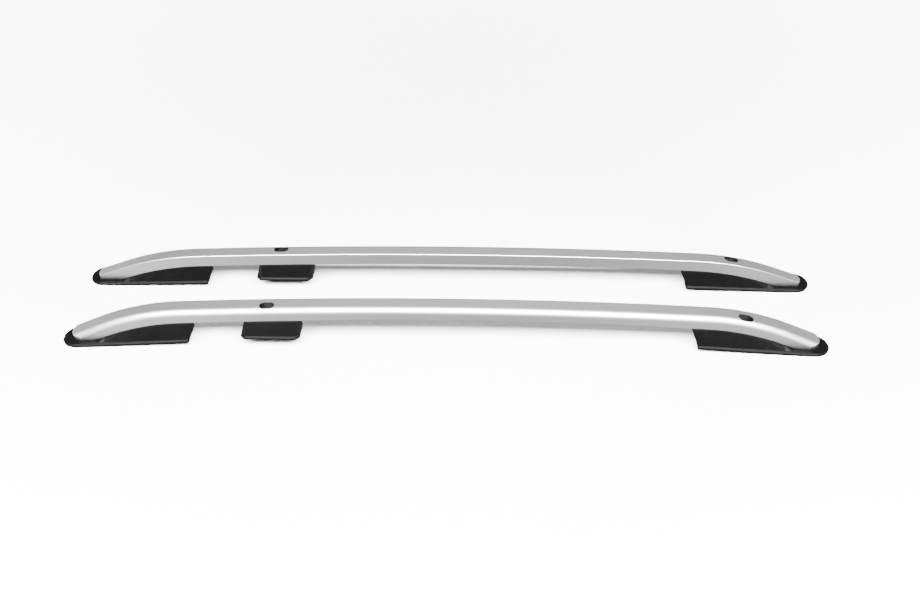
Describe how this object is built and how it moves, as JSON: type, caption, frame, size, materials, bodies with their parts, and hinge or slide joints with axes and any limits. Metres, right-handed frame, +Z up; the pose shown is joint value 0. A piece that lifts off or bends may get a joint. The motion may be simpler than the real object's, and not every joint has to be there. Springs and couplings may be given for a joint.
{
  "type": "roof side rail pair",
  "caption": "Pair of bent aluminium roof side rails, each hollow tube standing on black moulded end feet and a middle foot, with obround bolt access holes in its top.",
  "frame": {"origin": "centre of the pair's footprint, on the floor under the end feet", "axes": "+X along the rails towards the end with the bolt sleeve, +Y across the pair from the near rail to the far rail, +Z up"},
  "size_m": [2.014, 0.335, 0.1201],
  "materials": {
    "silver": "matt anodised",
    "black": "fine grained moulding",
    "nylon": "matt",
    "steel": "zinc plated",
    "brass": "machined"
  },
  "bodies": {
    "root": {"near_tube": "silver", "near_left_foot": "black", "near_right_foot": "black", "near_middle_foot": "black", "near_left_plug": "nylon", "near_right_plug": "nylon", "near_middle_plug": "nylon", "near_left_screws": "steel", "near_right_screws": "steel", "near_middle_screws": "steel", "near_right_sleeve": "steel", "near_middle_sleeve": "steel", "near_left_inserts": "brass", "far_tube": "silver", "far_left_foot": "black", "far_right_foot": "black", "far_middle_foot": "black", "far_left_plug": "nylon", "far_right_plug": "nylon", "far_middle_plug": "nylon", "far_left_screws": "steel", "far_right_screws": "steel", "far_middle_screws": "steel", "far_right_sleeve": "steel", "far_middle_sleeve": "steel", "far_left_inserts": "brass"}
  },
  "joints": []
}
